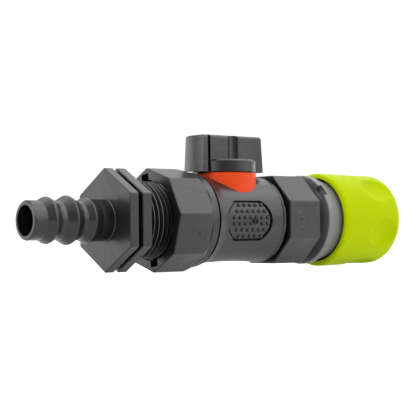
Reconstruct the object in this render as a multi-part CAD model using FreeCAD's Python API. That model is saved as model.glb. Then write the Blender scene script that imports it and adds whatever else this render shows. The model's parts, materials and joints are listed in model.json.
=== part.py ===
import FreeCAD, Part
import math
import os

# Garden hose shut-off coupling: hose tail, ball valve and quick connector on one pipe axis.
# Sizes are in millimetres. The pipe axis is X, from the hose tail towards the quick connector.
# While the pieces are made, x = 0 is the valve stem's axis, and Z points up along the stem.

# Clearances
fit_gap = 0.05
slide_gap = 0.08
seat_gap = 0.06
stem_gap = 0.07
stop_gap_deg = 0.5
under_handle_gap = 0.4
joint_line_gap = 0.5
edge_bevel = 0.3

# Pipe thread of the hose tail, the inlet collar, the outlet tail and the connector nut
thread_crest_r = 13.22
thread_depth = 1.16
thread_bore_gap = 0.1

# Hose tail
hose_bore_r = 4.97
barb_tip_r = 6.43
barb_tip_bevel = 0.5
barb_length = 29.86
ridge_from_tip = (7.4, 15.0, 22.1)
ridge_r = (7.75, 8.25, 7.63)
ridge_rise = (2.7, 3.1, 2.3)
ridge_fall = (2.6, 3.2, 3.2)
valley_r = 6.5
ridge_round = 1.2
tail_neck_r = 6.94
hex_across_flats = 30.3
hex_front_length = 3.54
hex_groove_length = 1.53
hex_rear_length = 3.68
hex_groove_r = 12.9
thread_exposed = 9.76
inlet_engagement = 8.6
thread_shown_inside = 2.2
tail_wide_bore_r = 9.0
tail_taper_length = 5.0

# Flat gaskets
gasket_thickness = 2.0
gasket_hole_r = 8.8

# Inlet collar
collar_across_flats = 33.26
collar_length = 14.72
collar_corner_deg = 5.7
collar_rear_cone_length = 2.6
collar_flange_r = 16.6
collar_flange_length = 3.1
flange_groove_width = 0.4
flange_groove_depth = 0.7
collar_mouth_r = 13.8
collar_mouth_depth = 1.2
collar_notch_width = 4.0
collar_notch_r = 16.0
collar_notch_depth = 3.0
collar_notch_count = 2
collar_notch_deg = 99.0

# Valve body
body_inlet_length = 14.9
body_outlet_length = 14.35
body_waist_r = 14.85
body_flare = 0.65
body_end_r = body_waist_r + body_flare
chamber_r = 11.8
spigot_bore_r = 12.85
flow_r = 8.5
pad_width = 20.6
pad_height = 14.0
pad_side_bow = 4.2
pad_corner_round = 1.6
pad_depth = 0.25
pad_groove_width = 0.8
pad_groove_depth = 0.75
pad_offset = -0.7
pad_rise = -0.45

# Ball, seats and their rings
ball_r = 10.5
ball_bore_r = 6.5
ball_slot_width = 3.0
ball_slot_floor = 8.1
seat_back = 9.8
seat_lip = 5.6
seat_bore_r = 7.0
cord_ring_r = 0.8
cord_groove_side_gap = 0.3
cord_ring_from_end = 1.9

# Stem
stem_r = 4.2
stem_flange_r = 5.4
stem_flange_bottom = 10.9
stem_flange_length = 2.1
stem_square = 5.6
stem_square_bottom = 19.4
stem_square_top = 24.6
stem_ring_r = 0.85
stem_ring_heights = (14.8, 17.5)

# Stem boss and collar
boss_r = 7.0
boss_top = 19.2
saddle_r = 11.45
saddle_top = 16.6
stop_wall_in_r = 7.6
stop_wall_out_r = 9.0
stop_wall_height = 2.4
stop_rib_deg = 20.0
quarter_turn_deg = 90.0
stop_side_deg = 90.0

# Handle
handle_bottom = saddle_top + under_handle_gap
handle_top = 29.95
skirt_r = 11.4
skirt_top = 21.3
skirt_wall = 1.9
hub_r = 5.6
hollow_roof = 19.8
bar_half_width = 5.3
bar_end_r = 14.9
bar_top_end_r = 14.1
bar_edge_round = 1.0
flute_r = 3.0
flute_sunk = 1.8
end_cap_length = 1.5
side_groove_width = 1.2
side_groove_depth = 1.0
bar_wall = 1.7
bar_roof = 1.8
screw_seat = 26.0
screw_recess_r = 3.0
screw_head_r = 2.7
screw_head_height = 1.7
screw_shank_r = 1.4
screw_depth = 7.0
screw_cross_width = 0.7
screw_cross_length = 3.0
screw_cross_depth = 0.9

# Outlet tail
outlet_ring_set_in = 0.15
outlet_ring_r = body_end_r - outlet_ring_set_in
outlet_ring_length = 1.4
outlet_relief_r = 11.9
outlet_relief_length = 1.6
nut_front_gap = 1.12
outlet_engagement = 7.9

# Connector nut
nut_across_flats = 32.04
nut_length = 14.9
nut_corner_deg = 22.5

# Connector body
body_flange_length = 2.7
neck_r = 11.2
neck_gap_length = 3.98
ring_r = 16.7
ring_length = 3.0
ring_notch_deg = 41.0
ring_notch_count = 2
ring_notch_width = 4.7
ring_notch_depth = 1.7
ring_notch_floor_r = 13.9
taper_start_r = 15.7
taper_start_length = 0.7
taper_end_r = 14.9
spring_seat_from_ring = 6.7
tube_r = 11.8
way_r = 6.0
socket_r = 8.1
socket_edge = 0.5
mouth_bore_r = 8.6
mouth_bore_length = 7.6
nose_lead_in = 0.4
socket_floor_to_seal = 3.8
seal_cord_r = 1.1
seal_groove_r = 9.7
mouth_past_lip = 2.3
snap_groove_depth = 0.7
snap_ring_length = 1.1
snap_ring_proud = 1.1
snap_ring_r = tube_r + snap_ring_proud

# Release sleeve
sleeve_travel = 4.4
rim_gap = 0.7
sleeve_rim_r = 17.65
sleeve_front_r = 17.15
sleeve_rim_round = 1.3
sleeve_band_length = 3.0
sleeve_shoulder_round = 3.6
spring_room_r = 15.88
spring_room_length = 13.8
guide_length = 1.9
cam_over_tube = 0.7
cam_start_r = tube_r + cam_over_tube
cam_room_length = 11.5
lip_length = 1.1
front_recess_gap = 0.3
front_recess_r = snap_ring_r + front_recess_gap
front_recess_length = 2.9
dimple_count = 6
dimple_deg = 42.0
dimple_r = 16.0
dimple_depth = 1.8
dimple_from_front = 10.2

# Claws and spring
claw_names = ("claw_near", "claw_top", "claw_far", "claw_bottom")
claw_length = 5.6
claw_width = 5.0
claw_head_width = 6.6
claw_side_gap = 0.1
claw_from_guide = 0.6
claw_lift = 0.9
tooth_reach = 0.8
tooth_flat = 1.1
spring_wire_r = 0.6
spring_mean_r = 13.85
spring_turns = 4
spring_end_gap = 0.1

# Stations along the pipe, worked out from the stem's axis
body_inlet_x = -body_inlet_length
body_outlet_x = body_outlet_length
collar_flange_x = body_inlet_x - joint_line_gap - collar_flange_length
collar_front_x = collar_flange_x - collar_length
hex_rear_x = collar_front_x - thread_exposed
hex_groove_x = hex_rear_x - hex_rear_length
hex_front_x = hex_groove_x - hex_groove_length - hex_front_length
barb_tip_x = hex_front_x - barb_length
tail_end_x = collar_front_x + inlet_engagement
collar_shoulder_x = tail_end_x + gasket_thickness
outlet_ring_x = body_outlet_x + joint_line_gap
outlet_ring_end_x = outlet_ring_x + outlet_ring_length
nut_front_x = outlet_ring_end_x + nut_front_gap
outlet_end_x = nut_front_x + outlet_engagement
body_flange_x = outlet_end_x + gasket_thickness
nut_shoulder_x = body_flange_x + body_flange_length
nut_rear_x = nut_front_x + nut_length
ring_x = nut_rear_x + neck_gap_length
ring_end_x = ring_x + ring_length
sleeve_rim_x = ring_end_x + rim_gap + sleeve_travel
spring_seat_x = ring_end_x + spring_seat_from_ring
guide_x = sleeve_rim_x + spring_room_length
cam_x = guide_x + guide_length
lip_x = cam_x + cam_room_length
sleeve_recess_x = lip_x + lip_length
sleeve_end_x = sleeve_recess_x + front_recess_length
mouth_x = sleeve_recess_x + mouth_past_lip
claw_x = cam_x + claw_from_guide
seal_x = spring_seat_x + socket_floor_to_seal + seal_cord_r
socket_floor_x = spring_seat_x + 1.5 * seal_cord_r
snap_ring_x = sleeve_recess_x + 2 * slide_gap
mouth_bore_end_x = mouth_x - socket_edge - mouth_bore_length

thread_root_r = thread_crest_r - thread_depth
thread_bore_r = thread_crest_r + thread_bore_gap
gasket_r = thread_bore_r - 2 * fit_gap
spigot_r = spigot_bore_r - fit_gap
guide_bore_r = tube_r + slide_gap
cam_slope = claw_lift / sleeve_travel

# The share of an outline's side that a corner's rounding may use: less where the next corner is rounded too
half_side = 0.45
whole_side = 0.95

origin = FreeCAD.Vector(0, 0, 0)
along_x = FreeCAD.Vector(1, 0, 0)
along_y = FreeCAD.Vector(0, 1, 0)
along_z = FreeCAD.Vector(0, 0, 1)


def corner_arc(before, here, after, radius, back_share, ahead_share):
    """Start, middle and end of the tangent arc that rounds a corner, within its share of each side."""
    back = before - here
    ahead = after - here
    half = back.getAngle(ahead) / 2
    limit = min(back_share * back.Length, ahead_share * ahead.Length)
    reach = min(radius / math.tan(half), limit)
    radius = reach * math.tan(half)
    back.normalize()
    ahead.normalize()
    middle_way = (back + ahead).normalize()
    middle = here + middle_way * (radius / math.sin(half) - radius)
    return here + back * reach, middle, here + ahead * reach


def bevel(x, r, size):
    """Point of an outline whose corner is cut off flat."""
    return x, r, size, "flat"


def outline(points):
    """Closed wire through (x, r) points in the XZ plane. A third number rounds that corner."""
    places = [FreeCAD.Vector(point[0], 0, point[1]) for point in points]
    stretches = []
    for i, point in enumerate(points):
        if len(point) == 2:
            stretches.append((places[i],))
            continue
        after = (i + 1) % len(points)
        back_share = whole_side if len(points[i - 1]) == 2 else half_side
        ahead_share = whole_side if len(points[after]) == 2 else half_side
        sides = (places[i - 1], places[i], places[after])
        start, middle, finish = corner_arc(*sides, point[2], back_share, ahead_share)
        stretches.append((start, middle, finish) if len(point) == 3 else (start, finish))
    edges = []
    for i, stretch in enumerate(stretches):
        if len(stretch) == 3:
            edges.append(Part.Arc(*stretch).toShape())
        if len(stretch) == 2:
            edges.append(Part.makeLine(*stretch))
        edges.append(Part.makeLine(stretch[-1], stretches[(i + 1) % len(points)][0]))
    return Part.Wire(edges)


def turned(points):
    """Solid turned about the pipe axis."""
    return Part.Face(outline(points)).revolve(origin, along_x, 360)


def turned_upright(points):
    """Solid turned about the stem's axis from (z, r) points."""
    solid = turned(points)
    solid.rotate(origin, along_y, -90)
    return solid


def ring(x0, x1, outer_r, inner_r):
    return turned([(x0, inner_r), (x0, outer_r), (x1, outer_r), (x1, inner_r)])


def rod(x0, x1, radius):
    return Part.makeCylinder(radius, x1 - x0, FreeCAD.Vector(x0, 0, 0), along_x)


def post(z0, z1, radius):
    return Part.makeCylinder(radius, z1 - z0, FreeCAD.Vector(0, 0, z0), along_z)


def block(low, high):
    """Box between two corners."""
    size = [b - a for a, b in zip(low, high)]
    return Part.makeBox(*size, FreeCAD.Vector(*low))


def turn_about_pipe(shape, degrees):
    """Copy of a shape turned about the pipe axis: 0 is the near side, 90 is the top."""
    copy = shape.copy()
    copy.rotate(origin, along_x, -degrees)
    return copy


def around_pipe(shape, count, first_deg):
    """Copies of a shape, evenly spaced about the pipe axis."""
    return [turn_about_pipe(shape, first_deg + i * 360 / count) for i in range(count)]


def spanner_prism(sides, across_flats, x0, x1, corner_deg):
    """Prism along the pipe with lightly bevelled edges, one corner at corner_deg."""
    corner_r = across_flats / 2 / math.cos(math.pi / sides)
    points = []
    for i in range(sides + 1):
        angle = math.radians(corner_deg + 360 / sides * i)
        points.append(FreeCAD.Vector(x0, -corner_r * math.cos(angle), corner_r * math.sin(angle)))
    prism = Part.Face(Part.makePolygon(points)).extrude(FreeCAD.Vector(x1 - x0, 0, 0))
    return prism.makeChamfer(edge_bevel, prism.Edges)


def hose_tail():
    """Barbed tail, two hexagon plates and the threaded end, moulded as one piece.

    The stretch that shows is at the thread's root, and the engaged stretch is at its crest.
    """
    barb = [(barb_tip_x, hose_bore_r), bevel(barb_tip_x, barb_tip_r, barb_tip_bevel)]
    before_r = (barb_tip_r, valley_r, valley_r)
    after_r = (valley_r, valley_r, tail_neck_r)
    for i, (distance, radius) in enumerate(zip(ridge_from_tip, ridge_r)):
        crest_x = barb_tip_x + distance
        barb.append((crest_x - ridge_rise[i], before_r[i]))
        barb.append((crest_x, radius, ridge_round))
        barb.append((crest_x + ridge_fall[i], after_r[i]))
    barb += [(hex_front_x + edge_bevel, tail_neck_r), (hex_front_x + edge_bevel, hose_bore_r)]
    shape = turned(barb)
    shape = shape.fuse(spanner_prism(6, hex_across_flats, hex_front_x, hex_front_x + hex_front_length, 90))
    shape = shape.fuse(spanner_prism(6, hex_across_flats, hex_groove_x, hex_rear_x, 90))
    hex_middle_x = hex_front_x + hex_front_length / 2
    shape = shape.fuse(rod(hex_middle_x, hex_groove_x + hex_rear_length / 2, hex_groove_r))
    cut_end_x = collar_front_x + thread_shown_inside
    shape = shape.fuse(rod(hex_rear_x - edge_bevel, cut_end_x, thread_root_r))
    shape = shape.fuse(turned([
        (cut_end_x, 0), (cut_end_x, thread_root_r), (cut_end_x + thread_depth, thread_crest_r),
        (tail_end_x - thread_depth, thread_crest_r), (tail_end_x, thread_root_r), (tail_end_x, 0)]))
    shape = shape.cut(turned([
        (barb_tip_x - 1, 0), (barb_tip_x - 1, hose_bore_r), (hex_groove_x, hose_bore_r),
        (hex_groove_x + tail_taper_length, tail_wide_bore_r), (tail_end_x + 1, tail_wide_bore_r),
        (tail_end_x + 1, 0)]))
    return shape


def inlet_collar():
    """Octagon that takes the hose tail's thread, with the spigot that holds the ball seat."""
    rear_r = collar_flange_r + edge_bevel
    corner_r = collar_across_flats / 2 / math.cos(math.pi / 8)
    shape = spanner_prism(8, collar_across_flats, collar_front_x, collar_flange_x, collar_corner_deg)
    shape = shape.common(turned([
        (collar_front_x - 1, 0), (collar_front_x - 1, corner_r), (collar_front_x + 0.7, corner_r + 0.2),
        (collar_flange_x - collar_rear_cone_length, corner_r + 0.2), (collar_flange_x + 1, rear_r - 0.4),
        (collar_flange_x + 1, 0)]))
    flange_end = collar_flange_x + collar_flange_length
    shape = shape.fuse(turned([
        (collar_flange_x - 1, 0), (collar_flange_x - 1, spigot_r), (collar_flange_x - 0.2, collar_flange_r),
        bevel(flange_end, collar_flange_r, 0.5), (flange_end, spigot_r), (-seat_back, spigot_r),
        (-seat_back, 0)]))
    groove_floor_r = collar_flange_r - flange_groove_depth
    shape = shape.cut(ring(collar_flange_x - flange_groove_width, collar_flange_x, corner_r, groove_floor_r))
    shape = shape.cut(turned([
        (collar_front_x - 1, 0), (collar_front_x - 1, collar_mouth_r),
        (collar_front_x + collar_mouth_depth, collar_mouth_r),
        (collar_front_x + collar_mouth_depth, thread_bore_r), (collar_shoulder_x, thread_bore_r),
        (collar_shoulder_x, flow_r), (-seat_back + 1, flow_r), (-seat_back + 1, 0)]))
    notch = block((collar_front_x - 1, -collar_notch_r, -collar_notch_width / 2),
                  (collar_front_x + collar_notch_depth, -thread_root_r, collar_notch_width / 2))
    shape = shape.cut(around_pipe(notch, collar_notch_count, collar_notch_deg))
    return shape.cut(cord_groove(body_inlet_x + cord_ring_from_end)).cut(rod(-seat_back, 0, seat_bore_r))


def cord_groove(x):
    """Groove in a spigot for the cord ring centred at x."""
    half = cord_ring_r + cord_groove_side_gap
    return ring(x - half, x + half, spigot_r + 1, spigot_r - 2 * cord_ring_r)


def rubber_ring(x, mean_r, cord_r):
    """Rubber cord ring about the pipe axis, its round section drawn with six sides."""
    section = []
    for i in range(6):
        angle = math.radians(60 * i + 30)
        section.append((x + cord_r * math.cos(angle), mean_r + cord_r * math.sin(angle)))
    return turned(section)


def cord_ring(x):
    """Ring in a spigot's groove."""
    return rubber_ring(x, spigot_r - cord_ring_r, cord_ring_r)


def gasket(x):
    """Flat gasket that a thread's end presses against a shoulder."""
    return ring(x, x + gasket_thickness, gasket_r, gasket_hole_r)


def body_skin():
    """Outer form of the valve body, waisted towards the stem."""
    start = FreeCAD.Vector(body_inlet_x, 0, body_end_r)
    waist = FreeCAD.Vector((body_inlet_x + body_outlet_x) / 2, 0, body_waist_r)
    finish = FreeCAD.Vector(body_outlet_x, 0, body_end_r)
    axis_end = FreeCAD.Vector(body_outlet_x, 0, 0)
    axis_start = FreeCAD.Vector(body_inlet_x, 0, 0)
    edges = [Part.Arc(start, waist, finish).toShape(), Part.makeLine(finish, axis_end),
             Part.makeLine(axis_end, axis_start), Part.makeLine(axis_start, start)]
    return Part.Face(Part.Wire(edges)).revolve(origin, along_x, 360)


def grip_plug(inset):
    """Barrel-shaped plug on the near side of the body, inset from the grip field's outline."""
    half_width = pad_width / 2 - inset
    half_height = pad_height / 2 - inset
    corners = [FreeCAD.Vector(x * (half_width - pad_side_bow), 0, z * half_height)
               for x, z in ((-1, -1), (-1, 1), (1, 1), (1, -1))]
    edges = [Part.Arc(corners[0], FreeCAD.Vector(-half_width, 0, 0), corners[1]).toShape(),
             Part.makeLine(corners[1], corners[2]),
             Part.Arc(corners[2], FreeCAD.Vector(half_width, 0, 0), corners[3]).toShape(),
             Part.makeLine(corners[3], corners[0])]
    plug = Part.Face(Part.Wire(edges)).extrude(FreeCAD.Vector(0, -2 * body_end_r, 0))
    upright = [edge for edge in plug.Edges if edge.BoundBox.YLength > body_end_r]
    plug = plug.makeFillet(pad_corner_round - inset, upright)
    plug.translate(FreeCAD.Vector(pad_offset, 0, pad_rise))
    return plug


def grip_cutters():
    """Shallow recess of the grip field, and the deeper groove that outlines it."""
    inside = grip_plug(pad_groove_width)
    groove = grip_plug(0).cut(inside)
    recess = inside.cut(rod(body_inlet_x, body_outlet_x, body_waist_r - pad_depth))
    return recess, groove.cut(rod(body_inlet_x, body_outlet_x, body_waist_r - pad_groove_depth))


def valve_body():
    """Waisted barrel with the ball chamber, a stem boss and a grip recess on each side."""
    skin = body_skin()
    chamber = turned([
        (body_inlet_x - 1, 0), (body_inlet_x - 1, spigot_bore_r), (-seat_back, spigot_bore_r),
        (-seat_back, chamber_r), (seat_back, chamber_r), (seat_back, spigot_bore_r),
        (body_outlet_x + 1, spigot_bore_r), (body_outlet_x + 1, 0)])
    shape = skin.fuse(post(body_waist_r / 2, boss_top, boss_r)).cut(chamber)
    flange_room = stem_flange_bottom + stem_flange_length + fit_gap
    shape = shape.cut(post(0, flange_room, stem_flange_r + stem_gap))
    shape = shape.cut(post(0, boss_top + 1, stem_r + stem_gap))
    for cutter in grip_cutters():
        shape = shape.cut(around_pipe(cutter, 2, 0))
    return shape


def seat_ring():
    """Seat on the inlet side: its hollow face follows the ball."""
    shape = ring(-seat_back, -seat_lip, chamber_r - fit_gap, seat_bore_r)
    return shape.cut(Part.makeSphere(ball_r + seat_gap))


def ball():
    """Ball with its bore open along the pipe and the stem's slot across it."""
    shape = Part.makeSphere(ball_r).cut(rod(-ball_r - 1, ball_r + 1, ball_bore_r))
    half = ball_slot_width / 2
    return shape.cut(block((-half, -ball_r, ball_slot_floor), (half, ball_r, ball_r + 1)))


def stem():
    """Stem with its tongue, flange, ring grooves and square."""
    flange_top = stem_flange_bottom + stem_flange_length
    tongue_half = ball_slot_width / 2 - slide_gap
    shape = post(ball_slot_floor + slide_gap, stem_square_bottom, stem_r)
    for side in (-1, 1):
        near = side * tongue_half
        far = side * 2 * stem_r
        low = (min(near, far), -stem_r - 1, 0)
        shape = shape.cut(block(low, (max(near, far), stem_r + 1, stem_flange_bottom)))
    shape = shape.fuse(post(stem_flange_bottom, flange_top, stem_flange_r))
    for z in stem_ring_heights:
        half = stem_ring_r + cord_groove_side_gap
        groove = post(z - half, z + half, stem_r + 1).cut(post(z - half, z + half, stem_r - 2 * stem_ring_r))
        shape = shape.cut(groove)
    side = stem_square / 2
    shape = shape.fuse(block((-side, -side, stem_square_bottom - 0.5), (side, side, stem_square_top)))
    return shape.cut(post(screw_seat - screw_depth, stem_square_top + 1, screw_shank_r + fit_gap))


def stem_seal(z):
    """Ring in one of the stem's grooves."""
    shape = rubber_ring(z, stem_r - stem_ring_r, stem_ring_r)
    shape.rotate(origin, along_y, -90)
    return shape


def sector(z0, z1, outer_r, inner_r, start_deg, sweep_deg):
    """Part of an upright ring, from start_deg anticlockwise."""
    place = FreeCAD.Vector(0, 0, z0)
    shape = Part.makeCylinder(outer_r, z1 - z0, place, along_z, sweep_deg)
    shape = shape.cut(Part.makeCylinder(inner_r, z1 - z0, place, along_z, 360))
    shape.rotate(origin, along_z, start_deg)
    return shape


def stem_collar(body):
    """Collar that sits astride the body round the boss, with the quarter-turn stop on top."""
    free_deg = quarter_turn_deg + stop_rib_deg + 2 * stop_gap_deg
    start = stop_side_deg - stop_rib_deg / 2 - stop_gap_deg + free_deg
    wall_top = saddle_top + stop_wall_height
    wall = sector(saddle_top, wall_top, stop_wall_out_r, stop_wall_in_r, start, 360 - free_deg)
    shape = turned_upright([(0, boss_r + fit_gap), (0, saddle_r), bevel(saddle_top, saddle_r, 0.4),
                            (saddle_top, boss_r + fit_gap)])
    under_body = rod(body_inlet_x, body_outlet_x, body_waist_r - 1)
    return shape.cut(under_body).cut(body).fuse(wall)


def bar_form(end_r, top_end_r, half_width, top):
    """Handle bar: a tapering round cut to two flat sides."""
    shape = Part.makeCone(end_r, top_end_r, top - handle_bottom, FreeCAD.Vector(0, 0, handle_bottom), along_z)
    slab = block((-end_r - 1, -half_width, handle_bottom), (end_r + 1, half_width, top))
    return shape.common(slab)


def handle():
    """Quarter-turn handle: bar, round skirt, square socket and stop rib."""
    bar = bar_form(bar_end_r, bar_top_end_r, bar_half_width, handle_top)
    low_z = handle_top - 0.01
    top_edges = [edge for edge in bar.Edges if edge.BoundBox.ZMin > low_z]
    bar = bar.makeFillet(bar_edge_round, top_edges)
    groove_x = end_cap_length - math.sqrt(bar_top_end_r ** 2 - bar_half_width ** 2)
    for side in (0, 180):
        flute_place = FreeCAD.Vector(0, -bar_half_width - flute_sunk, 0)
        flute = Part.makeCylinder(flute_r, handle_top, flute_place, along_z)
        groove = block((groove_x, -bar_half_width - 1, handle_bottom - 1),
                       (groove_x + side_groove_width, -bar_half_width + side_groove_depth, handle_top + 1))
        for cutter in (flute, groove):
            cutter.rotate(origin, along_z, side)
            bar = bar.cut(cutter)
    skirt = turned_upright([
        (handle_bottom, 0), (handle_bottom, skirt_r), bevel(skirt_top, skirt_r, 0.6), (skirt_top, 0)])
    shape = bar.fuse(skirt)
    hollow = post(handle_bottom - 1, hollow_roof, skirt_r - skirt_wall)
    pocket_half_width = bar_half_width - side_groove_depth - bar_wall
    pocket_top = handle_top - bar_roof
    pockets = bar_form(bar_end_r - bar_wall, bar_top_end_r - bar_wall, pocket_half_width, pocket_top)
    pockets = pockets.cut(post(hollow_roof - 1, handle_top, hub_r))
    shape = shape.cut(hollow).cut(pockets)
    rib = sector(handle_bottom + under_handle_gap, hollow_roof, skirt_r - skirt_wall + 0.2, stop_wall_in_r,
                 stop_side_deg - stop_rib_deg / 2, stop_rib_deg)
    shape = shape.fuse(rib)
    side = stem_square / 2 + fit_gap
    shape = shape.cut(block((-side, -side, handle_bottom), (side, side, stem_square_top)))
    shape = shape.cut(post(stem_square_top - 1, screw_seat + 1, screw_shank_r + 2 * fit_gap))
    return shape.cut(post(screw_seat, handle_top + 1, screw_recess_r))


def handle_screw():
    """Screw that holds the handle on the stem's square."""
    head_top = screw_seat + screw_head_height
    tip = screw_seat - screw_depth + 0.5
    shape = turned_upright([(tip, 0), (tip, screw_shank_r), (screw_seat, screw_shank_r),
                            (screw_seat, screw_head_r), bevel(head_top, screw_head_r, 0.6), (head_top, 0)])
    half_width = screw_cross_width / 2
    half_length = screw_cross_length / 2
    floor = head_top - screw_cross_depth
    cross = block((-half_length, -half_width, floor), (half_length, half_width, head_top + 1))
    other = block((-half_width, -half_length, floor), (half_width, half_length, head_top + 1))
    return shape.cut(cross.fuse(other))


def outlet_tail():
    """Spigot, thin ring and threaded end on the outlet side."""
    relief_end = outlet_ring_end_x + outlet_relief_length
    shape = turned([
        (seat_back, seat_bore_r), (seat_back, spigot_r), (outlet_ring_x, spigot_r),
        bevel(outlet_ring_x, outlet_ring_r, 0.4), bevel(outlet_ring_end_x, outlet_ring_r, 0.4),
        (outlet_ring_end_x, outlet_relief_r), (relief_end, outlet_relief_r), (relief_end + 1, thread_crest_r),
        (outlet_end_x - 1, thread_crest_r), (outlet_end_x, thread_root_r), (outlet_end_x, flow_r),
        (body_outlet_x, flow_r), (seat_back + 1, seat_bore_r)])
    return shape.cut(cord_groove(body_outlet_x - cord_ring_from_end))


def connector_nut():
    """Octagon nut that pulls the connector body's flange onto the outlet tail."""
    shape = spanner_prism(8, nut_across_flats, nut_front_x, nut_rear_x, nut_corner_deg)
    return shape.cut(turned([
        (nut_front_x - 1, 0), (nut_front_x - 1, thread_bore_r + 1), (nut_front_x, thread_bore_r + 0.6),
        (nut_front_x + 0.6, thread_bore_r), (nut_shoulder_x, thread_bore_r),
        (nut_shoulder_x, neck_r + fit_gap), (nut_rear_x + 1, neck_r + fit_gap), (nut_rear_x + 1, 0)]))


def connector_body():
    """Flanged neck, notched ring and the tube that takes the nipple."""
    shape = turned([
        (body_flange_x, way_r), (body_flange_x, gasket_r), (nut_shoulder_x, gasket_r),
        (nut_shoulder_x, neck_r), (ring_x, neck_r), bevel(ring_x, ring_r, 0.25),
        bevel(ring_end_x, ring_r, 0.5), (ring_end_x + taper_start_length, taper_start_r),
        bevel(spring_seat_x, taper_end_r, 0.5), (spring_seat_x, tube_r), bevel(mouth_x, tube_r, 0.6),
        bevel(mouth_x, mouth_bore_r, socket_edge), (mouth_bore_end_x, mouth_bore_r),
        (mouth_bore_end_x - nose_lead_in, socket_r), (socket_floor_x, socket_r), (socket_floor_x, way_r)])
    notch = block((ring_x - 1, -ring_r - 1, -ring_notch_width / 2),
                  (ring_x + ring_notch_depth, -ring_notch_floor_r, ring_notch_width / 2))
    shape = shape.cut(around_pipe(notch, ring_notch_count, ring_notch_deg))
    half = seal_cord_r + cord_groove_side_gap / 2
    shape = shape.cut(ring(seal_x - half, seal_x + half, seal_groove_r, socket_r - 1))
    snap_end = snap_ring_x + snap_ring_length
    shape = shape.cut(ring(snap_ring_x - fit_gap, snap_end + fit_gap, tube_r + 1, tube_r - snap_groove_depth))
    half_width = claw_width / 2 + claw_side_gap
    window = block((claw_x - claw_side_gap, -tube_r - 1, -half_width),
                   (claw_x + claw_length + claw_side_gap, 0, half_width))
    return shape.cut(around_pipe(window, len(claw_names), 0))


def socket_seal():
    """Rubber ring that grips the nipple at the socket's floor."""
    return rubber_ring(seal_x, seal_groove_r - seal_cord_r, seal_cord_r)


def snap_ring():
    """Ring on the mouth that keeps the sleeve from coming off."""
    return turned([
        (snap_ring_x, tube_r - snap_groove_depth + fit_gap), (snap_ring_x, snap_ring_r),
        bevel(snap_ring_x + snap_ring_length, snap_ring_r, 0.4),
        (snap_ring_x + snap_ring_length, tube_r - snap_groove_depth + fit_gap)])


def claw():
    """Near-side claw: tooth, body and a head that the sleeve's cone presses in."""
    claw_end_x = claw_x + claw_length
    outer_start = cam_start_r + cam_slope * claw_from_guide - slide_gap
    outer_end = outer_start + cam_slope * claw_length
    tooth_x = claw_x + claw_length / 3
    tooth_r = socket_r - tooth_reach
    blank = turned([
        (claw_x, socket_r + 0.3), (tooth_x, socket_r + 0.3), (tooth_x, tooth_r),
        (tooth_x + tooth_flat, tooth_r), (claw_end_x - 0.4, socket_r + 0.3), (claw_end_x, socket_r + 0.3),
        (claw_end_x, outer_end), (claw_x, outer_start)])
    shank = blank.common(block((claw_x - 1, -ring_r, -claw_width / 2), (claw_end_x + 1, 0, claw_width / 2)))
    head = blank.cut(rod(claw_x - 1, claw_end_x + 1, tube_r + fit_gap))
    half_width = claw_head_width / 2
    head = head.common(block((claw_x - 1, -ring_r, -half_width), (claw_end_x + 1, 0, half_width)))
    return shank.fuse(head)


def release_sleeve():
    """Sleeve with thumb dimples outside, and the spring room, cone and front recess inside."""
    cam_end_r = cam_start_r + cam_slope * cam_room_length
    shape = turned([
        (sleeve_rim_x, spring_room_r), (sleeve_rim_x, sleeve_rim_r, sleeve_rim_round),
        (sleeve_rim_x + sleeve_band_length, sleeve_rim_r),
        (sleeve_end_x, sleeve_front_r, sleeve_shoulder_round), (sleeve_end_x, front_recess_r),
        (sleeve_recess_x, front_recess_r), (sleeve_recess_x, guide_bore_r), (lip_x, guide_bore_r),
        (lip_x, cam_end_r), (cam_x, cam_start_r), (cam_x, guide_bore_r), (guide_x, guide_bore_r),
        (guide_x, spring_room_r)])
    reach = sleeve_front_r + dimple_r - dimple_depth
    scoop = Part.makeSphere(dimple_r, FreeCAD.Vector(sleeve_end_x - dimple_from_front, -reach, 0))
    return shape.cut(around_pipe(scoop, dimple_count, dimple_deg))


def sleeve_spring():
    """Coil spring between the connector body's shoulder and the sleeve's guide."""
    start = spring_seat_x + spring_wire_r + spring_end_gap
    height = guide_x - spring_wire_r - spring_end_gap - start
    helix = Part.makeHelix(height / spring_turns, height, spring_mean_r)
    corners = []
    for i in range(7):
        angle = math.radians(60 * i)
        corners.append(FreeCAD.Vector(spring_mean_r + spring_wire_r * math.cos(angle), 0,
                                      spring_wire_r * math.sin(angle)))
    shape = Part.Wire(helix).makePipeShell([Part.makePolygon(corners)], True, True)
    shape.rotate(origin, along_y, 90)
    shape.translate(FreeCAD.Vector(start, 0, 0))
    return shape


def mirrored(shape):
    """Outlet side's copy of a piece made for the inlet side."""
    return shape.mirror(origin, along_x)


body = valve_body()
parts = {
    "hose_tail": hose_tail(),
    "inlet_gasket": gasket(tail_end_x),
    "inlet_collar": inlet_collar(),
    "inlet_o_ring": cord_ring(body_inlet_x + cord_ring_from_end),
    "valve_body": body,
    "inlet_seat": seat_ring(),
    "ball": ball(),
    "outlet_seat": mirrored(seat_ring()),
    "stem": stem(),
    "stem_seal_lower": stem_seal(stem_ring_heights[0]),
    "stem_seal_upper": stem_seal(stem_ring_heights[1]),
    "stem_collar": stem_collar(body),
    "handle": handle(),
    "handle_screw": handle_screw(),
    "outlet_o_ring": cord_ring(body_outlet_x - cord_ring_from_end),
    "outlet_tail": outlet_tail(),
    "outlet_gasket": gasket(outlet_end_x),
    "connector_nut": connector_nut(),
    "connector_body": connector_body(),
    "socket_seal": socket_seal(),
    "snap_ring": snap_ring(),
    "release_sleeve": release_sleeve(),
    "sleeve_spring": sleeve_spring(),
}
for name, piece in zip(claw_names, around_pipe(claw(), len(claw_names), 0)):
    parts[name] = piece

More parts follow.
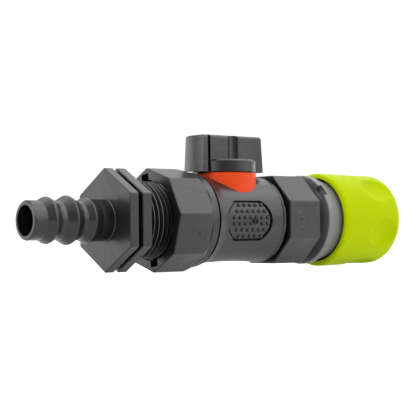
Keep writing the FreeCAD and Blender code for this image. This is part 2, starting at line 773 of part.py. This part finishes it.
# The finished part's origin is where the socket's straight wall starts, on the pipe axis
os.makedirs("parts", exist_ok=True)
for name, shape in parts.items():
    shape.translate(FreeCAD.Vector(socket_edge - mouth_x, 0, 0))
    shape.exportStep("parts/" + name + ".step")
    print(name, len(shape.Solids), shape.isValid(), round(shape.Volume, 1))
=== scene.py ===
import bmesh
import bpy
import json
import math
from mathutils import Matrix, Vector


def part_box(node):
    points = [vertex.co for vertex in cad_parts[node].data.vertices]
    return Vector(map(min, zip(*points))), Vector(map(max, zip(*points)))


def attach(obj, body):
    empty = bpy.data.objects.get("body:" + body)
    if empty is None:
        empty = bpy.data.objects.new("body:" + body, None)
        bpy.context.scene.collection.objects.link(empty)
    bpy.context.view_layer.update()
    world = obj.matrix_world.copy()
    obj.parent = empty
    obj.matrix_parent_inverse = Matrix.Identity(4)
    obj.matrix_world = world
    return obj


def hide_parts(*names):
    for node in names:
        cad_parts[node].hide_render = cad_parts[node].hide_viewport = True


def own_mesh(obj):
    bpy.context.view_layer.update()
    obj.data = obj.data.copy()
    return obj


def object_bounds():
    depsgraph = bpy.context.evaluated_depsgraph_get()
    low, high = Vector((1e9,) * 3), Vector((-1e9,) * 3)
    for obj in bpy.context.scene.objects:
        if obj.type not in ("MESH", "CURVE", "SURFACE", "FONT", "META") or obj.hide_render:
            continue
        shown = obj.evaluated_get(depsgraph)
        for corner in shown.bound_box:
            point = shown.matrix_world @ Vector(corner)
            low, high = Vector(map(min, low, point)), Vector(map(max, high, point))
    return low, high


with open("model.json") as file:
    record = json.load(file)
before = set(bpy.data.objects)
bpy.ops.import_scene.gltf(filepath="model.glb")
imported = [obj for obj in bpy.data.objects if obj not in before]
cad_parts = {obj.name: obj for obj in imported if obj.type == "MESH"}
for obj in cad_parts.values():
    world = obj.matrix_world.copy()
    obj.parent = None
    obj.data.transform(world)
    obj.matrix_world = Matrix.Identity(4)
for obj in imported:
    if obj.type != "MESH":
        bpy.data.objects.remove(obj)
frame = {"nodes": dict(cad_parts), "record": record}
cad_low, cad_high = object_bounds()
nodes = frame["nodes"]
MM = 0.001

# Camera, fitted to the photograph: place in metres, angles in degrees, lens and sensor in millimetres
CAMERA_PLACE = (-0.340745, -0.321582, -0.004801)
CAMERA_YAW = 38.818
CAMERA_PITCH = 1.259
CAMERA_ROLL = -0.694
CAMERA_LENS = 100.72
SENSOR = 36.0
NEAREST_SEEN = 0.01
FARTHEST_SEEN = 50

# Sizes repeated from the CAD source, in millimetres and degrees in the row frame
HEX_FRONT_X = -126.18
NECK_R = 6.94
PAD_FLOOR_R = 14.60
BODY_INLET_X = -89.35
BODY_OUTLET_X = -60.10
BODY_WAIST_R = 14.85
BODY_ARC_R = 164.86
COLLAR_FLAT_R = 16.63
COLLAR_FLAT_DEG = -16.8
NUT_FLAT_R = 16.02
NUT_FLAT_DEG = 0.0
THREAD_ROOT_R = 12.06
THREAD_CREST_R = 13.22
SPRING_MEAN_R = 13.85
SPRING_WIRE_R = 0.6
SPRING_TURNS = 4

# Noise of the moulded skins, as waves per metre, and how deep it goes in metres
FLOW_SCALE = 70
GLOSS_SCALE = 260
GRAIN_SCALE = 5200
GRAIN_DEPTH = 0.00002
SINK_DEPTH = 0.0004


def noise(tree, place, scale, detail, distortion=0.0):
    """Noise over a piece's own coordinates."""
    node = tree.nodes.new("ShaderNodeTexNoise")
    node.inputs["Scale"].default_value = scale
    node.inputs["Detail"].default_value = detail
    node.inputs["Distortion"].default_value = distortion
    tree.links.new(place.outputs["Object"], node.inputs["Vector"])
    return node.outputs["Fac"]


def relief(tree, height, depth, strength):
    """Small heights in a skin."""
    node = tree.nodes.new("ShaderNodeBump")
    node.inputs["Strength"].default_value = strength
    node.inputs["Distance"].default_value = depth
    tree.links.new(height, node.inputs["Height"])
    return node


def ranged(tree, value, source, result, ease="LINEAR"):
    """Carries a value over from the source range to the result range."""
    node = tree.nodes.new("ShaderNodeMapRange")
    node.interpolation_type = ease
    node.inputs["From Min"].default_value = source[0]
    node.inputs["From Max"].default_value = source[1]
    node.inputs["To Min"].default_value = result[0]
    node.inputs["To Max"].default_value = result[1]
    tree.links.new(value, node.inputs["Value"])
    return node.outputs["Result"]


def reach_along(tree, place, way):
    """How far a place or a direction reaches along a way."""
    node = tree.nodes.new("ShaderNodeVectorMath")
    node.operation = "DOT_PRODUCT"
    node.inputs[1].default_value = way
    tree.links.new(place, node.inputs[0])
    return node.outputs["Value"]


def seen_as(tree, glow, brightness):
    """Lights the object with a glow, and gives the backdrop itself one brightness."""
    ray = tree.nodes.new("ShaderNodeLightPath")
    node = tree.nodes.new("ShaderNodeMix")
    node.inputs["B"].default_value = brightness
    tree.links.new(ray.outputs["Is Camera Ray"], node.inputs["Factor"])
    tree.links.new(glow, node.inputs["A"])
    return node.outputs["Result"]


def moulded(name, colour, roughness, grain, mottle=0.10, cloud=0.05, specular=0.5):
    """Moulded plastic: cloudy colour, uneven gloss, shallow waves and a fine grain in the skin."""
    material = bpy.data.materials.new(name)
    material.use_nodes = True
    tree = material.node_tree
    shader = tree.nodes["Principled BSDF"]
    shader.inputs["Specular IOR Level"].default_value = specular
    place = tree.nodes.new("ShaderNodeTexCoord")

    flow = noise(tree, place, FLOW_SCALE, detail=4, distortion=0.6)
    shades = tree.nodes.new("ShaderNodeValToRGB")
    dark, light = shades.color_ramp.elements
    dark.position = 0.3
    dark.color = (*(c * (1 - mottle) for c in colour), 1)
    light.position = 0.7
    light.color = (*(min(1.0, c * (1 + mottle)) for c in colour), 1)
    tree.links.new(flow, shades.inputs["Fac"])
    tree.links.new(shades.outputs["Color"], shader.inputs["Base Color"])

    gloss = noise(tree, place, GLOSS_SCALE, detail=3)
    uneven = ranged(tree, gloss, (0.0, 1.0), (roughness - cloud, roughness + cloud))
    tree.links.new(uneven, shader.inputs["Roughness"])

    skin = relief(tree, noise(tree, place, GRAIN_SCALE, detail=2), GRAIN_DEPTH, grain)
    waves = relief(tree, flow, SINK_DEPTH, strength=1.0)
    tree.links.new(waves.outputs["Normal"], skin.inputs["Normal"])
    tree.links.new(skin.outputs["Normal"], shader.inputs["Normal"])
    return material


def metal(material):
    """Turns a skin into bare metal."""
    material.node_tree.nodes["Principled BSDF"].inputs["Metallic"].default_value = 1.0
    return material


def glowing_through(material, weight, reach):
    """Lets a little light travel inside a bright plastic."""
    shader = material.node_tree.nodes["Principled BSDF"]
    shader.inputs["Subsurface Weight"].default_value = weight
    shader.inputs["Subsurface Scale"].default_value = reach
    return material


materials = {
    "dark_plastic": moulded("dark_plastic", (0.006, 0.006, 0.006), roughness=0.30, grain=0.12,
                            mottle=0.10, cloud=0.04, specular=0.60),
    "handle_plastic": moulded("handle_plastic", (0.007, 0.007, 0.007), roughness=0.24, grain=0.10,
                              mottle=0.10, cloud=0.04, specular=0.65),
    "grey_plastic": moulded("grey_plastic", (0.100, 0.100, 0.101), roughness=0.34, grain=0.20,
                            mottle=0.06, cloud=0.05, specular=0.80),
    "lime_plastic": glowing_through(
        moulded("lime_plastic", (0.345, 0.445, 0.0), roughness=0.40, grain=0.12,
                mottle=0.03, cloud=0.05, specular=0.02),
        weight=0.2, reach=0.002),
    "orange_plastic": glowing_through(
        moulded("orange_plastic", (0.640, 0.056, 0.010), roughness=0.36, grain=0.15,
                mottle=0.04, cloud=0.05, specular=0.14),
        weight=0.15, reach=0.002),
    "white_plastic": moulded("white_plastic", (0.740, 0.740, 0.710), roughness=0.38, grain=0.15, mottle=0.03),
    "black_rubber": moulded("black_rubber", (0.020, 0.020, 0.020), roughness=0.62, grain=0.40),
    "steel": metal(moulded("steel", (0.55, 0.55, 0.56), roughness=0.3, grain=0.2, mottle=0.06, cloud=0.08)),
}


def dress(piece, slot):
    piece.data.materials.clear()
    piece.data.materials.append(materials[slot])


slot_of = {part["node"]: part["material_slot"] for part in frame["record"]["subparts"]}
for name, node in nodes.items():
    dress(node, slot_of[name])


def about_pipe(x, r, degrees):
    """Point about the pipe axis: 0 degrees is the near side, 90 is the top."""
    angle = math.radians(degrees)
    return Vector((x, -r * math.cos(angle), r * math.sin(angle))) * MM


def piece_from(name, mesh_code, body, slot, smooth=True):
    """New mesh piece, made by mesh_code, riding on a body with a slot's material."""
    mesh = bpy.data.meshes.new(name)
    form = bmesh.new()
    mesh_code(form)
    bmesh.ops.recalc_face_normals(form, faces=form.faces)
    form.to_mesh(mesh)
    form.free()
    for face in mesh.polygons:
        face.use_smooth = smooth
    piece = bpy.data.objects.new(name, mesh)
    bpy.context.scene.collection.objects.link(piece)
    dress(piece, slot)
    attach(piece, body)
    return piece


def lathe(form, profile, centre, axis, steps):
    """Closed (distance, r) profile turned about an axis through centre."""
    axis = Vector(axis).normalized()
    side = axis.orthogonal().normalized()
    other = axis.cross(side)
    rows = []
    for i in range(steps):
        angle = 2 * math.pi * i / steps
        way = side * math.cos(angle) + other * math.sin(angle)
        rows.append([form.verts.new(Vector(centre) + (axis * d + way * r) * MM) for d, r in profile])
    for i in range(steps):
        here, there = rows[i], rows[(i + 1) % steps]
        for j in range(len(profile)):
            k = (j + 1) % len(profile)
            form.faces.new((here[j], here[k], there[k], there[j]))


def dome(form, centre, outward, radius, height, steps=12, levels=4):
    """Small rounded bump whose foot is sunk a little into the wall."""
    foot = -0.15
    outward = Vector(outward).normalized()
    side = outward.orthogonal().normalized()
    other = outward.cross(side)
    angles = [2 * math.pi * i / steps for i in range(steps)]
    ways = [side * math.cos(angle) + other * math.sin(angle) for angle in angles]
    rings = []
    for j in range(levels):
        tilt = math.pi / 2 * j / levels
        r = radius * math.cos(tilt)
        rise = foot + (height - foot) * math.sin(tilt)
        rings.append([form.verts.new(centre + (outward * rise + way * r) * MM) for way in ways])
    for low, high in zip(rings, rings[1:]):
        for i in range(steps):
            form.faces.new((low[i], low[(i + 1) % steps], high[(i + 1) % steps], high[i]))
    tip = form.verts.new(centre + outward * height * MM)
    for i in range(steps):
        form.faces.new((rings[-1][i], rings[-1][(i + 1) % steps], tip))
    form.faces.new(tuple(reversed(rings[0])))


def wound(form, sections):
    """Closed rod through a row of sections."""
    for here, there in zip(sections, sections[1:]):
        for j in range(len(here)):
            k = (j + 1) % len(here)
            form.faces.new((here[j], here[k], there[k], there[j]))
    form.faces.new(sections[0])
    form.faces.new(tuple(reversed(sections[-1])))


# Grip fields on both sides of the valve body: their middle, and rows of bumps given by their number
GRIP_X = -74.30
GRIP_Z = -0.45
GRIP_ROWS = (5, 6, 7, 7, 6, 5)
GRIP_ROW_STEP = 2.2
GRIP_PITCH = 2.54
GRIP_R = 0.78
GRIP_HEIGHT = 0.85

# Moulding gate in the near grip field: its place, and the room around it that has no bumps
PIT_X = -72.35
PIT_Z = -0.75
PIT_DEGREES = math.degrees(math.asin(PIT_Z / PAD_FLOOR_R))
PIT_ROOM = 1.25
PIT_RING = ((-0.2, 1.10), (0.50, 1.10), (0.70, 1.00), (0.70, 0.86), (0.02, 0.72), (-0.2, 0.72))
PIT_TIP_R = 0.34
PIT_TIP_HEIGHT = 0.16


def grip_field(side):
    """Bumps on the near side (-1) or the far side (1)."""
    def bumps(form):
        for row, count in enumerate(GRIP_ROWS):
            z = GRIP_Z + GRIP_ROW_STEP * ((len(GRIP_ROWS) - 1) / 2 - row)
            for i in range(count):
                x = GRIP_X + GRIP_PITCH * (i - (count - 1) / 2)
                if side < 0 and math.hypot(x - PIT_X, z - PIT_Z) < PIT_ROOM:
                    continue
                outward = Vector((0, side * math.sqrt(PAD_FLOOR_R ** 2 - z ** 2), z))
                dome(form, (Vector((x, 0, 0)) + outward) * MM, outward, GRIP_R, GRIP_HEIGHT)
    return bumps


def moulding_gate(form):
    """Raised ring with a small tip in it, where the valve body's mould was filled."""
    place = about_pipe(PIT_X, PAD_FLOOR_R, PIT_DEGREES)
    outward = about_pipe(0, 1, PIT_DEGREES)
    lathe(form, PIT_RING, place, outward, steps=24)
    dome(form, place, outward, PIT_TIP_R, PIT_TIP_HEIGHT)


piece_from("grip_domes_near", grip_field(-1), "housing", "dark_plastic")
piece_from("grip_domes_far", grip_field(1), "housing", "dark_plastic")
piece_from("moulding_gate", moulding_gate, "housing", "dark_plastic")

# Bead where the barb's neck meets the hexagon, as (distance from the hexagon, rise over the neck)
NECK_BEAD = ((-0.5, -0.3), (-0.5, 0.05), (-0.35, 0.28), (-0.10, 0.34), (0.2, 0.34), (0.2, -0.3))


def neck_bead(form):
    profile = [(d, NECK_R + rise) for d, rise in NECK_BEAD]
    lathe(form, profile, (HEX_FRONT_X * MM, 0, 0), (1, 0, 0), steps=96)


piece_from("neck_bead", neck_bead, "housing", "dark_plastic")

# Flare of the valve body's inlet end, from its skin up to the joint line
RIM_LENGTH = 4.6
RIM_RISE = 0.75
RIM_SUNK = 0.05
RIM_DEPTH = 0.3
RIM_STEPS = 16


def body_rim(form):
    """Flared end of the valve body at the joint line behind the collar's flange."""
    outer = []
    inner = []
    for i in range(RIM_STEPS + 1):
        share = i / RIM_STEPS
        x = BODY_INLET_X + share * RIM_LENGTH
        from_waist = (BODY_INLET_X + BODY_OUTLET_X) / 2 - x
        skin_r = BODY_WAIST_R + BODY_ARC_R - math.sqrt(BODY_ARC_R ** 2 - from_waist ** 2)
        outer.append((x, skin_r - RIM_SUNK + (RIM_RISE + RIM_SUNK) * (1 - share) ** 2))
        inner.append((x, skin_r - RIM_DEPTH))
    lathe(form, outer + inner[::-1], (0, 0, 0), (1, 0, 0), steps=128)


rim = piece_from("body_rim", body_rim, "housing", "dark_plastic")
for face in rim.data.polygons:
    # the end face at the joint line stays flat
    face.use_smooth = abs(face.normal.x) < 0.5

# Ridge of the pipe thread, on the stretch of root that shows, with half its widths as shares of the pitch
THREAD_START_X = -116.9
THREAD_END_X = -105.7
THREAD_PITCH = 1.814
THREAD_HALF_FOOT = 0.42
THREAD_HALF_ROOT = 0.40
THREAD_HALF_CREST = 0.11
THREAD_SUNK = 0.08


def pipe_thread(form):
    """Right-handed ridge wound about the pipe, sunk a little into the thread's root."""
    steps_per_turn = 64
    turns = (THREAD_END_X - THREAD_START_X) / THREAD_PITCH
    steps = round(turns * steps_per_turn)
    foot_r = THREAD_ROOT_R - THREAD_SUNK
    sections = []
    for i in range(steps + 1):
        # both ends run out of the root over a third of a turn
        swell = min(1.0, 3 * i / steps_per_turn, 3 * (steps - i) / steps_per_turn)
        crest_r = THREAD_ROOT_R + (THREAD_CREST_R - THREAD_ROOT_R) * swell
        x = THREAD_START_X + THREAD_PITCH * i / steps_per_turn
        degrees = -360 * i / steps_per_turn
        rising = [(-THREAD_HALF_FOOT, foot_r),
                  (-THREAD_HALF_ROOT, THREAD_ROOT_R),
                  (-THREAD_HALF_CREST, crest_r)]
        falling = [(-share, r) for share, r in reversed(rising)]
        sections.append([form.verts.new(about_pipe(x + share * THREAD_PITCH, r, degrees))
                         for share, r in rising + falling])
    wound(form, sections)


piece_from("pipe_thread", pipe_thread, "housing", "dark_plastic", smooth=False)

# Sleeve spring: its CAD node is rigid and is hidden, and this coil of the same length is drawn in its place
spring_low, spring_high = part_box("sleeve_spring")
spring_length = (spring_high[0] - spring_low[0]) / MM


def coil_spring(form):
    steps_per_turn = 40
    sides = 10
    first = spring_low[0] / MM + SPRING_WIRE_R
    steps = SPRING_TURNS * steps_per_turn
    tilts = [2 * math.pi * j / sides for j in range(sides)]
    sections = []
    for i in range(steps + 1):
        x = first + (spring_length - 2 * SPRING_WIRE_R) * i / steps
        degrees = 360 * i / steps_per_turn
        section = []
        for tilt in tilts:
            r = SPRING_MEAN_R + SPRING_WIRE_R * math.cos(tilt)
            section.append(form.verts.new(about_pipe(x + SPRING_WIRE_R * math.sin(tilt), r, degrees)))
        sections.append(section)
    wound(form, sections)


spring = piece_from("coil_spring", coil_spring, "housing", "steel")
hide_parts("sleeve_spring")
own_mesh(spring)

# Gates on the collar and the nut: a faint ring about a small crater
COLLAR_GATE_X = -98.74
NUT_GATE_X = -51.49
GATE_RING = ((-0.1, 3.2), (0.0, 3.15), (0.07, 2.95), (0.0, 2.75), (-0.1, 2.7))
GATE_CRATER = ((-0.1, 0.72), (0.10, 0.68), (0.22, 0.56), (0.16, 0.42), (-0.1, 0.38))


def gate_mark(x, r, degrees):
    """Mark on a flat where its mould was filled."""
    def rings(form):
        outward = about_pipe(0, 1, degrees)
        place = about_pipe(x, r, degrees)
        lathe(form, GATE_RING, place, outward, steps=40)
        lathe(form, GATE_CRATER, place, outward, steps=24)
    return rings


piece_from("collar_gate", gate_mark(COLLAR_GATE_X, COLLAR_FLAT_R, COLLAR_FLAT_DEG), "housing", "dark_plastic")
piece_from("nut_gate", gate_mark(NUT_GATE_X, NUT_FLAT_R, NUT_FLAT_DEG), "housing", "dark_plastic")

# Torn gate behind the first barb ridge, with bits as (x from its centre, degrees from it, radius, height)
TORN_GATE_X = -147.3
TORN_GATE_R = 7.05
TORN_GATE_DEG = 41.0
TORN_CRATER = ((-0.35, 0.80), (0.10, 0.78), (0.26, 0.62), (0.20, 0.50), (-0.25, 0.42), (-0.35, 0.42))
TORN_BITS = ((-0.25, 9.0, 0.36, 0.34), (-0.45, 14.0, 0.26, 0.30), (0.85, -3.0, 0.30, 0.16))


def torn_gate(form):
    """Where the barb's runner was torn off: a crater with bits at its edge."""
    outward = about_pipe(0, 1, TORN_GATE_DEG)
    place = about_pipe(TORN_GATE_X, TORN_GATE_R, TORN_GATE_DEG)
    lathe(form, TORN_CRATER, place, outward, steps=20)
    for dx, degrees, radius, height in TORN_BITS:
        bit = about_pipe(TORN_GATE_X + dx, TORN_GATE_R, TORN_GATE_DEG + degrees)
        dome(form, bit, outward, radius, height)


piece_from("torn_gate", torn_gate, "housing", "dark_plastic")

# Floor: a light table whose glow fades towards the photographer. Places are in metres
FLOOR_SIZE = 3.0
FLOOR_GLOW = 0.50
FLOOR_SEEN = 0.90
FADE_WAY = (0.63, 0.78, 0.0)
FADE_START = -0.125
FADE_END = -0.06


def light_table():
    material = moulded("floor", (0.60, 0.60, 0.60), roughness=0.8, grain=0.0, mottle=0.004, cloud=0.01,
                       specular=0.1)
    tree = material.node_tree
    shader = tree.nodes["Principled BSDF"]
    ground = tree.nodes.new("ShaderNodeTexCoord")
    behind = reach_along(tree, ground.outputs["Object"], FADE_WAY)
    fade = ranged(tree, behind, (FADE_START, FADE_END), (0.0, FLOOR_GLOW), "SMOOTHSTEP")
    shader.inputs["Emission Color"].default_value = (1, 1, 1, 1)
    tree.links.new(seen_as(tree, fade, FLOOR_SEEN), shader.inputs["Emission Strength"])
    return material


floor_z = min(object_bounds()[0].z, cad_low.z)
floor_mesh = bpy.data.meshes.new("floor")
corners = [(x * FLOOR_SIZE, y * FLOOR_SIZE, floor_z) for x, y in ((-1, -1), (1, -1), (1, 1), (-1, 1))]
floor_mesh.from_pydata(corners, [], [(0, 1, 2, 3)])
floor_mesh.materials.append(light_table())
floor = bpy.data.objects.new("floor", floor_mesh)
bpy.context.scene.collection.objects.link(floor)

# Lamp above the object, in metres and watts
LAMP_PLACE = (0.25, -0.20, 0.65)
LAMP_TARGET = (-0.075, 0, 0)
LAMP_SIZE = 0.5
LAMP_POWER = 0.4


def area_light(name, place, target, size, power):
    data = bpy.data.lights.new(name, "AREA")
    data.shape = "SQUARE"
    data.size = size
    data.energy = power
    light = bpy.data.objects.new(name, data)
    light.location = place
    light.rotation_euler = (Vector(target) - Vector(place)).to_track_quat("-Z", "Y").to_euler()
    bpy.context.scene.collection.objects.link(light)


area_light("light_above", LAMP_PLACE, LAMP_TARGET, LAMP_SIZE, LAMP_POWER)

# Studio, seen as white: an even glow and soft windows as (degrees from +X to +Y, degrees up, strength)
EVEN_GLOW = 0.15
WINDOWS = ((0, 0, 0.60), (25, 0, 0.80), (105, 0, 1.15), (129, 0, 0.50), (-50, 35, 2.10), (-90, 35, 0.35),
           (180, 35, 2.90), (50, 35, 0.15), (130, 65, 0.30), (40, 65, 1.60))
WINDOW_EDGE = 0.70
WINDOW_MIDDLE = 0.97
BACKDROP = 1.05


def studio():
    world = bpy.data.worlds.new("studio")
    world.use_nodes = True
    tree = world.node_tree
    ways = tree.nodes.new("ShaderNodeTexCoord")
    glow = None
    for round_deg, up_deg, strength in WINDOWS:
        along = math.radians(round_deg)
        up = math.radians(up_deg)
        way = (math.cos(along) * math.cos(up), math.sin(along) * math.cos(up), math.sin(up))
        near = reach_along(tree, ways.outputs["Generated"], way)
        window = ranged(tree, near, (WINDOW_EDGE, WINDOW_MIDDLE), (0.0, strength), "SMOOTHSTEP")
        total = tree.nodes.new("ShaderNodeMath")
        total.operation = "ADD"
        total.inputs[0].default_value = EVEN_GLOW
        if glow:
            tree.links.new(glow, total.inputs[0])
        tree.links.new(window, total.inputs[1])
        glow = total.outputs["Value"]
    background = tree.nodes["Background"]
    background.inputs["Color"].default_value = (1, 1, 1, 1)
    tree.links.new(seen_as(tree, glow, BACKDROP), background.inputs["Strength"])
    return world


bpy.context.scene.world = studio()
bpy.context.scene.view_settings.view_transform = "Standard"


def set_camera():
    yaw, pitch, roll = (math.radians(a) for a in (CAMERA_YAW, CAMERA_PITCH, CAMERA_ROLL))
    forward = Vector((math.sin(yaw) * math.cos(pitch), math.cos(yaw) * math.cos(pitch), math.sin(pitch)))
    level = Vector((math.cos(yaw), -math.sin(yaw), 0))
    above = level.cross(forward)
    right = math.cos(roll) * level + math.sin(roll) * above
    up = math.cos(roll) * above - math.sin(roll) * level
    data = bpy.data.cameras.new("camera")
    data.lens = CAMERA_LENS
    data.sensor_width = SENSOR
    data.clip_start = NEAREST_SEEN
    data.clip_end = FARTHEST_SEEN
    camera = bpy.data.objects.new("camera", data)
    turn = Matrix((right, up, -forward)).transposed().to_4x4()
    camera.matrix_world = Matrix.Translation(CAMERA_PLACE) @ turn
    bpy.context.scene.collection.objects.link(camera)
    bpy.context.scene.camera = camera


set_camera()
